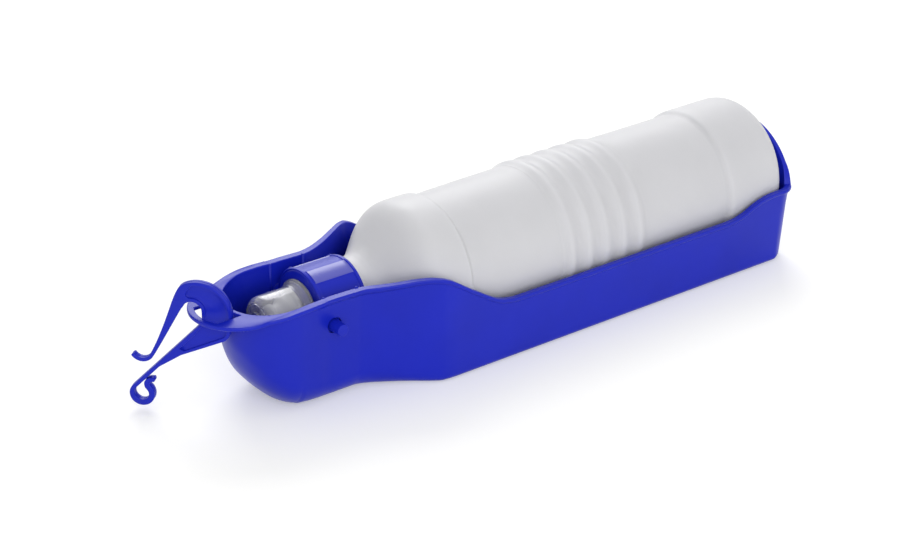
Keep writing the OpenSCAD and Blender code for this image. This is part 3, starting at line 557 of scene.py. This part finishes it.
# The inner face is every third point of the outer one, a wall further in. It is
# moved in from the base too, and its neck is a plain bore.
bottle_in = bottle_out[::-3] - [0, BOTTLE_WALL]
bottle_in[:, 0] -= np.where(bottle_in[:, 0] > DISH_FROM, BOTTLE_WALL, 0)
bottle_in[:, 1] = np.maximum(bottle_in[:, 1], POLE_R)
clear_of_bore = (bottle_in[:, 0] > BORE[0, 0]) & (bottle_in[:, 1] > BORE_CLEAR)
bottle_in = bottle_in[clear_of_bore | (bottle_in[:, 0] > BASE_FROM)]
bottle_in = np.concatenate([bottle_in, BORE])
bottle_rings = np.concatenate([turned(bottle_out, BOTTLE_ROUND, THREAD), turned(bottle_in, BOTTLE_ROUND)])
bottle = mesh_piece("squeeze_bottle", bottle_rings,
                    grid_faces(len(bottle_rings), BOTTLE_ROUND, wrap_cols=True), "bottle")
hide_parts("bottle")
MILKY, MILKY_ROUGH, MILKY_SCATTER = (0.645, 0.645, 0.685), 0.45, (0.006, 0.006, 0.0065)
milky, milky_shader = moulded_plastic("milky_polyethylene", MILKY, MILKY_ROUGH, grain=0.15, drift=0.02)
milky_shader.inputs["Specular IOR Level"].default_value = 0.3
milky_shader.inputs["Subsurface Weight"].default_value = 0.5
milky_shader.inputs["Subsurface Radius"].default_value = MILKY_SCATTER
milky_shader.inputs["Subsurface Scale"].default_value = 1.0
bottle.data.materials.append(milky)

# Neck seal: a plain washer of soft grey rubber, pressed between the cap and the
# bottle's mouth. It is out of sight, so it keeps the plain mesh of its solid.
SEAL_GREY, SEAL_ROUGH = (0.55, 0.55, 0.52), 0.6
seal_grey, _ = moulded_plastic("seal_rubber", SEAL_GREY, SEAL_ROUGH, grain=0.4)
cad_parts["neck_seal"].data.materials.clear()
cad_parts["neck_seal"].data.materials.append(seal_grey)

# Screw cap: blue polypropylene moulding that closes the bottle. Six raised bands give a grip
# on its barrel. They are glossier than the barrel, and their paler lilac blue is a painted
# reflection of the bright room. The spout tube stands on a boss at its front.
CAP = np.array([
    [-1.9, 15.6], [-2.25, 15.9], [-2.2, 16.2], [-1.95, 16.35], [-1.1, 16.35], [-0.75, 16.3], [-0.6, 15.95],
    [-0.4, 15.85], [17.15, 15.85], [17.35, 15.95], [17.5, 16.3], [17.7, 16.35], [18.6, 16.35], [18.9, 16.2],
    [18.95, 15.9], [18.95, 14.6], [18.75, 14.38], [17, 14.35], [-0.3, 14.35], [-0.45, 14.2], [-0.45, 3.2],
    [-12, 3.2], [-12, 4.7], [-11.7, 5.0], [-5.9, 5.0], [-5.6, 5.3], [-5.6, 8.5], [-5.2, 8.92], [-2.6, 8.92],
    [-2.3, 9.2], [-2.25, 15.2]])
CAP_STEP, CAP_ROUND = 1.2, 288
BARREL_R, BARREL_ENDS = 15.8, (-1.0, 17.8)
GRIP_TURN, GRIP_PITCH, GRIP_HALF, GRIP_HIGH, GRIP_FADE = 19.5, 60, 3.7, 0.45, 0.3
# Where the bands get the glossier material with the painted reflection: ends along the barrel, and share of
# their height
PAINTED_SHEEN_ENDS, PAINTED_SHEEN_FROM = (-0.6, 17.3), 0.7


def barrel_with_grips(profile):
    """The cap's outline turned round its axis. Over each band the barrel's radius
    is scaled up by the band's height, which falls to nothing at its sides."""
    rings = turned(profile, CAP_ROUND)
    turn = np.linspace(0, 360, CAP_ROUND, endpoint=False)[None, :]
    off = np.radians(np.abs((turn + GRIP_TURN + GRIP_PITCH / 2) % GRIP_PITCH - GRIP_PITCH / 2)) * BARREL_R
    along, radius = profile[:, [0]], profile[:, [1]]
    barrel = (radius > BARREL_R) & (along > BARREL_ENDS[0]) & (along < BARREL_ENDS[1])
    scale = 1 + barrel * GRIP_HIGH / BARREL_R * np.clip((GRIP_HALF - off) / GRIP_FADE, 0, 1)
    rings[..., 1] *= scale
    rings[..., 2] = AXIS_Z + (rings[..., 2] - AXIS_Z) * scale
    return rings


cap_rings = barrel_with_grips(finer(np.concatenate([CAP, CAP[:1]]), CAP_STEP)[:-1])
cap_faces = grid_faces(len(cap_rings), CAP_ROUND, wrap_rows=True, wrap_cols=True)
cap = mesh_piece("screw_cap_barrel", cap_rings, [face[::-1] for face in cap_faces], "cap")
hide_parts("screw_cap")
cap.data.materials.append(blue)
# Painted reflection: the bands' paler lilac blue copies the room's reflection. Their higher specular level
# and lower roughness are real gloss.
PAINTED_SHEEN_BLUE, GLOSSY_BAND_ROUGH = (0.05, 0.055, 0.40), 0.28
painted_sheen_bands, painted_sheen_shader = moulded_plastic("grip_bands_painted_sheen", PAINTED_SHEEN_BLUE, GLOSSY_BAND_ROUGH)
painted_sheen_shader.inputs["Specular IOR Level"].default_value = 0.9
cap.data.materials.append(painted_sheen_bands)
centres = np.empty(3 * len(cap.data.polygons))
cap.data.polygons.foreach_get("center", centres)
along, across, up = centres.reshape(-1, 3).T / MM
on_band = np.hypot(across, up - AXIS_Z) > BARREL_R + PAINTED_SHEEN_FROM * GRIP_HIGH
on_band &= (along > PAINTED_SHEEN_ENDS[0]) & (along < PAINTED_SHEEN_ENDS[1])
cap.data.polygons.foreach_set("material_index", on_band.astype(int))
cap.data.set_sharp_from_angle(angle=SHARP_TURN)

# Pivot pins, moulded with the cap: a bearing that turns in the tray's wall,
# recessed a little behind its outer face, and a slimmer tip that stands out.
PIN = np.array([
    [14.6, POLE_R], [14.6, 3.3], [18.9, 3.3], [19.15, 3.15], [19.2, 2.7], [19.3, 2.6], [25.75, 2.6],
    [26.15, 2.48], [26.28, 2.2], [26.3, 1.9], [26.3, POLE_R]])
PIN_ROUND = 64
pin_rings = np.concatenate([tube_rows(PIN, PIN_ROUND, side) for side in (1, -1)])
pin_faces = []
for start in (0, len(PIN) * PIN_ROUND):
    pin_faces += grid_faces(len(PIN), PIN_ROUND, wrap_cols=True, start=start)
pins = mesh_piece("pivot_pins", pin_rings, pin_faces, "cap")
pins.data.materials.append(blue)
sewn(pins, 40)

# Nozzle: white push-pull spout, moulded in one piece, that slides a few
# millimetres on the tube. Pushed in, its mouth closes on the stem of the valve.
NOZZLE = np.array([
    [-6, 5.08], [-6, 7.6], [-6.15, 7.9], [-7.2, 7.9], [-7.5, 7.75], [-7.9, 7.2], [-10.8, 7.0], [-11.4, 6.8],
    [-13.1, 5.1], [-13.6, 4.8], [-15.1, 4.7], [-15.6, 4.95], [-15.9, 5.3], [-17.0, 5.3], [-17.5, 5.05],
    [-17.6, 4.7], [-17.6, 1.6], [-16, 1.6], [-15.4, 3], [-12.4, 3], [-12.4, 5.08]])
NOZZLE_STEP, NOZZLE_ROUND = 0.9, 96
nozzle_rings = turned(finer(np.concatenate([NOZZLE, NOZZLE[:1]]), NOZZLE_STEP)[:-1], NOZZLE_ROUND)
nozzle_faces = grid_faces(len(nozzle_rings), NOZZLE_ROUND, wrap_rows=True, wrap_cols=True)
nozzle = mesh_piece("push_pull_nozzle", nozzle_rings, [face[::-1] for face in nozzle_faces], "nozzle")
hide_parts("nozzle")
WHITE, WHITE_ROUGH = (0.78, 0.79, 0.80), 0.3
white, _ = moulded_plastic("white_nozzle", WHITE, WHITE_ROUGH, drift=0.02)
nozzle.data.materials.append(white)

# Dust cap: clear polystyrene cup snapped over the boss. A stepped flange rings
# its mouth, and a small raised ring marks the middle of its rounded end.
DUST_OUT = np.array([
    [-2.6, 9.0], [-2.6, 12.0], [-2.75, 12.25], [-3.6, 12.25], [-3.8, 12.0], [-3.85, 11.5], [-4.5, 11.5],
    [-4.7, 11.2], [-5.3, 10.3], [-6.2, 10.0], [-19.0, 10.0], [-20.4, 9.85], [-21.4, 9.4], [-22.1, 8.8],
    [-22.3, 8.2], [-22.75, 8.1], [-22.85, 7.7], [-22.6, 7.4], [-22.85, 4.4], [-23.35, 4.2], [-23.5, 3.8],
    [-23.15, 3.5], [-23.2, POLE_R]])
DUST_IN = np.array([[-22.4, POLE_R], [-22.2, 3.3], [-22.0, 6.0], [-21.6, 7.3], [-20.8, 8.2], [-19.7, 8.8],
                    [-18.4, 9.0], [-2.6, 9.0]])
DUST_ROUND = 160
dust_rings = turned(np.concatenate([rounded(DUST_OUT, 2), rounded(DUST_IN, 2)[:-1]]), DUST_ROUND)
dust_faces = grid_faces(len(dust_rings), DUST_ROUND, wrap_rows=True, wrap_cols=True)
dust = mesh_piece("clear_dust_cap", dust_rings, [face[::-1] for face in dust_faces], "dust_cap")
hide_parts("dust_cap")
CLEAR, CLEAR_ROUGH = (0.80, 0.80, 0.82), 0.14
clear, clear_shader = moulded_plastic("clear_polystyrene", CLEAR, CLEAR_ROUGH, grain=0.03, drift=0.01)
clear_shader.inputs["Transmission Weight"].default_value = 0.86
clear_shader.inputs["IOR"].default_value = 1.5
dust.data.materials.append(clear)

# Belt clip: flat blue moulding with a thin web between raised rims. A sprung
# upper arm and a lower arm ending in a curl leave a jaw for a belt, and the
# throat between them is hooked over the bar of the shelf.
BAR_TURN, BAR_REACH, CLIP_LIFT = 164.3, 18.6, 1.25
CLIP_TURN = math.radians(41)
RIM_HALF, WEB_HALF, CLIP_RIM = 1.6, 0.55, 1.5
THROAT_R, THROAT_END, THROAT_FOOT = 3.9, 18, [-3.9, -4.2]
HEAD, HEAD_R, HEAD_START, HEAD_STOP = np.array([-2.7, -0.7]), 13.1, 62, 189
HEEL, HEEL_R, HEEL_STOP = np.array([-9.7, -7.4]), 5.3, 245
WEB_LENGTH = 20.5
# Sunk web: gap to the web's end, bearings of its head and its throat, and corners
POCKET_GAP, POCKET_START, POCKET_STOP, POCKET_THROAT = 3, 78, 192, (205, 80)
POCKET_SHOULDER = [[2.4, 6.2], [1.6, 8.7]]
LOWER_HALF, LOWER_START, LOWER_TURN = 0.82, np.array([-2.69, -7.07]), -45.7
CURL, CURL_R, CURL_HALF, CURL_END = np.array([22.3, -38.55]), 4.05, 1.2, -226
LIP_R, LIP_SWEEP, LIP_TAIL, LIP_HALF = 2.0, 130, 1.6, 0.9
# Points of the lower arm's path where it starts and stops widening in the curl,
# and where it starts and stops narrowing in the lip
LOWER_MARKS = [1, 12, 35, 44]
ARM_START, ARM_HALF, ARM_TURN, ARM_LEAD, ARM_TAPER = np.array([6.15, 1.75]), 2.2, -65, 8, 1.6
ARM_SHOULDER = [[6.5, 6.8], [4.9, 9.7]]
HOOK, HOOK_R, HOOK_HALF, HOOK_START, HOOK_STOP = np.array([21.3, -19.0]), 4.5, 0.76, -150, -30


def heading(turn):
    """Unit vector at a bearing in degrees: its cosine and its sine."""
    return np.array([math.cos(math.radians(turn)), math.sin(math.radians(turn))])


def strip_sides(path, halves):
    """Both edges of a strip that follows a path, half a width to its left and
    to its right at each point."""
    along = np.gradient(path, axis=0)
    along /= np.linalg.norm(along, axis=1, keepdims=True)
    across = halves[:, None] * np.column_stack([-along[:, 1], along[:, 0]])
    return path + across, path - across


# Upper arm: a cubic curve from the head that runs into the hook
hook = arc(HOOK, HOOK_R, HOOK_START, HOOK_STOP, 14)
t = np.linspace(0, 1, 20)[:-1, None]
bend = ((1 - t) ** 3 * ARM_START + 3 * t * (1 - t) ** 2 * (ARM_START + ARM_LEAD * heading(ARM_TURN))
        + 3 * t * t * (1 - t) * (hook[0] - ARM_LEAD * heading(HOOK_START + 90)) + t ** 3 * hook[0])
arm_path = np.concatenate([bend, hook])
arm_share = np.clip(1 - np.arange(len(arm_path)) / len(bend), 0, 1)
arm_over, arm_under = strip_sides(arm_path, HOOK_HALF + (ARM_HALF - HOOK_HALF) * arm_share ** ARM_TAPER)

# Lower arm: a straight bar, a round curl and a small lip turned back the other way
curl = arc(CURL, CURL_R, 90 + LOWER_TURN, CURL_END, 34)
lip_turn = CURL_END + 180 + LIP_SWEEP
lip = arc(CURL + (CURL_R + LIP_R) * heading(CURL_END), LIP_R, CURL_END + 180, lip_turn, 12)[1:]
lower_path = np.concatenate([[LOWER_START], curl, lip, [lip[-1] + LIP_TAIL * heading(lip_turn + 90)]])
lower_halves = np.interp(
    np.arange(len(lower_path)), LOWER_MARKS, [LOWER_HALF, CURL_HALF, CURL_HALF, LIP_HALF])
lower_over, lower_under = strip_sides(lower_path, lower_halves)
bar_inner = LOWER_START - LOWER_HALF * heading(LOWER_TURN + 90)
lower_over[0] = LOWER_START + LOWER_HALF * heading(LOWER_TURN + 90)


def corners_cut(outline):
    """A closed outline with every corner cut, a quarter of the way along both of
    its sides."""
    following = np.roll(outline, -1, 0)
    return np.stack([0.75 * outline + 0.25 * following, 0.25 * outline + 0.75 * following], 1).reshape(-1, 2)


clip_edge = corners_cut(np.concatenate([
    arc(HEAD, HEAD_R, HEAD_START, HEAD_STOP, 40), arc(HEEL, HEEL_R, HEAD_STOP, HEEL_STOP, 14)[1:],
    [bar_inner + WEB_LENGTH * heading(LOWER_TURN)], lower_under[1:], lower_over[::-1], [THROAT_FOOT],
    arc((0, 0), THROAT_R, 180, THROAT_END, 26), arm_under, arm_over[::-1], ARM_SHOULDER]))
pocket_edge = corners_cut(np.concatenate([
    arc(HEAD, HEAD_R - CLIP_RIM, POCKET_START, POCKET_STOP, 36),
    arc(HEEL, HEEL_R - CLIP_RIM, POCKET_STOP, HEEL_STOP, 12)[1:],
    [bar_inner + (WEB_LENGTH - POCKET_GAP) * heading(LOWER_TURN), bar_inner],
    arc((0, 0), THROAT_R + CLIP_RIM, *POCKET_THROAT, 24), POCKET_SHOULDER]))
# Levels of one face, [inwards, height]: a fine groove round the middle of the
# edge where the mould parts, the rounded edge, and the sunk web
EDGE_LEVELS = [(0.18, 0), (0.15, 0.15), (0, 0.3), (0, 1.3), (0.1, 1.5), (0.3, RIM_HALF)]
WEB_LEVELS = [(-0.25, RIM_HALF), (-0.05, 1.5), (0, 1.3), (0.05, 0.7), (0.3, WEB_HALF)]

clip_at = np.array([SHELF_X + BAR_REACH * heading(BAR_TURN)[0], BAR_REACH * heading(BAR_TURN)[1],
                    NOSE_H - RIM_SUNK + CLIP_LIFT])
clip_left = np.array([-math.sin(CLIP_TURN), math.cos(CLIP_TURN), 0])
clip_across = np.array([math.cos(CLIP_TURN), math.sin(CLIP_TURN), 0])
clip_points, clip_faces, count = [], [], 0
for face_side in (1, -1):
    flats = []
    for outline, levels in ((clip_edge, EDGE_LEVELS), (pocket_edge, WEB_LEVELS)):
        clip_faces += grid_faces(len(levels), len(outline), wrap_cols=True, start=count)
        rings = [(moved_in(outline, inset), height) for inset, height in levels]
        clip_points += [clip_at + ring[:, [0]] * clip_left + ring[:, [1]] * [0, 0, 1]
                        + face_side * height * clip_across for ring, height in rings]
        flats += [(rings[0][0], count), (rings[-1][0], count + (len(levels) - 1) * len(outline))]
        count += len(levels) * len(outline)
    rim_edge, web_top, web_floor = flats[1:]
    clip_faces += flat_faces([rim_edge[0], web_top[0]], [rim_edge[1], web_top[1]])
    clip_faces += flat_faces([web_floor[0]], [web_floor[1]])
clip = mesh_piece("belt_clip_moulding", np.concatenate(clip_points), clip_faces, "clip")
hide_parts("belt_clip")
clip.data.materials.append(blue)
sewn(clip, 38)

# Floor, lamps and camera: a plain white floor, a large soft lamp high behind
# the object and one lower in front, so the shadow falls towards the front.
FLOOR_HALF, FLOOR_LEVEL = 6, -0.0002
floor_signs = ((-1, -1), (1, -1), (1, 1), (-1, 1))
floor_corners = [(x * FLOOR_HALF, y * FLOOR_HALF, FLOOR_LEVEL) for x, y in floor_signs]
floor_mesh = bpy.data.meshes.new("floor")
floor_mesh.from_pydata(floor_corners, [], [(0, 1, 2, 3)])
floor = bpy.data.objects.new("floor", floor_mesh)
bpy.context.scene.collection.objects.link(floor)
FLOOR_SEEN, FLOOR_GLOW, FLOOR_UNSEEN = (0.76, 0.76, 0.735, 1), 0.3, (0.8, 0.8, 0.8, 1)
pale = bpy.data.materials.new("pale_floor")
pale.use_nodes = True
floor_nodes, floor_links = pale.node_tree.nodes, pale.node_tree.links
floor_nodes.clear()


def seen_ray(nodes, links):
    """The largest of three ray flags: 1 for rays that reach the camera directly,
    in a mirror or through clear plastic, and 0 for rays that only carry light."""
    kind = nodes.new("ShaderNodeLightPath")
    mirror = nodes.new("ShaderNodeMath")
    through = nodes.new("ShaderNodeMath")
    mirror.operation = through.operation = "MAXIMUM"
    links.new(kind.outputs["Is Camera Ray"], mirror.inputs[0])
    links.new(kind.outputs["Is Glossy Ray"], mirror.inputs[1])
    links.new(mirror.outputs[0], through.inputs[0])
    links.new(kind.outputs["Is Transmission Ray"], through.inputs[1])
    return through.outputs[0]


seen = seen_ray(floor_nodes, floor_links)
paper = floor_nodes.new("ShaderNodeBsdfDiffuse")
paper.inputs["Color"].default_value = FLOOR_SEEN
glow = floor_nodes.new("ShaderNodeEmission")
glow.inputs["Strength"].default_value = FLOOR_GLOW
lit = floor_nodes.new("ShaderNodeAddShader")
plain_paper = floor_nodes.new("ShaderNodeBsdfDiffuse")
plain_paper.inputs["Color"].default_value = FLOOR_UNSEEN
either = floor_nodes.new("ShaderNodeMixShader")
surface = floor_nodes.new("ShaderNodeOutputMaterial")
floor_links.new(paper.outputs[0], lit.inputs[0])
floor_links.new(glow.outputs[0], lit.inputs[1])
floor_links.new(seen, either.inputs[0])
floor_links.new(plain_paper.outputs[0], either.inputs[1])
floor_links.new(lit.outputs[0], either.inputs[2])
floor_links.new(either.outputs[0], surface.inputs["Surface"])
floor.data.materials.append(pale)


def soft_lamp(name, at, aim, size, watts):
    """A square area lamp at one point, turned to face another."""
    light = bpy.data.lights.new(name, "AREA")
    light.shape, light.size, light.energy = "SQUARE", size, watts
    lamp = bpy.data.objects.new(name, light)
    bpy.context.scene.collection.objects.link(lamp)
    lamp.location = at
    lamp.rotation_euler = (Vector(aim) - Vector(at)).to_track_quat("-Z", "Y").to_euler()


soft_lamp("high_back_lamp", (0.6, 0.95, 0.85), (0.08, 0, 0.02), 0.9, 10)
soft_lamp("front_fill_lamp", (-0.5, -1.4, 0.6), (0.08, 0, 0.03), 1.2, 13)
WORLD_LIGHT, WORLD_SEEN = 0.7, 1.0
world = bpy.data.worlds.new("pale_room")
bpy.context.scene.world = world
world.use_nodes = True
world_nodes, world_links = world.node_tree.nodes, world.node_tree.links
strength = world_nodes.new("ShaderNodeMapRange")
strength.inputs["To Min"].default_value = WORLD_LIGHT
strength.inputs["To Max"].default_value = WORLD_SEEN
world_links.new(seen_ray(world_nodes, world_links), strength.inputs["Value"])
world_links.new(strength.outputs["Result"], world_nodes["Background"].inputs["Strength"])
world_nodes["Background"].inputs["Color"].default_value = (1, 1, 1, 1)

CAMERA_AZ, CAMERA_EL, CAMERA_REACH = math.radians(-37.4), math.radians(26.26), 0.98985
CAMERA_AIM = Vector((0.072036, 0, 0.027576))
SENSOR_WIDTH, LENS_LENGTH = 36, 95.76
towards_camera = Vector((math.sin(CAMERA_AZ) * math.cos(CAMERA_EL),
                         -math.cos(CAMERA_AZ) * math.cos(CAMERA_EL), math.sin(CAMERA_EL)))
lens = bpy.data.cameras.new("camera")
lens.sensor_width, lens.lens = SENSOR_WIDTH, LENS_LENGTH
camera = bpy.data.objects.new("camera", lens)
bpy.context.scene.collection.objects.link(camera)
camera.location = CAMERA_AIM + towards_camera * CAMERA_REACH
camera.rotation_euler = towards_camera.to_track_quat("Z", "Y").to_euler()
bpy.context.scene.camera = camera
bpy.context.scene.view_settings.view_transform = "Standard"
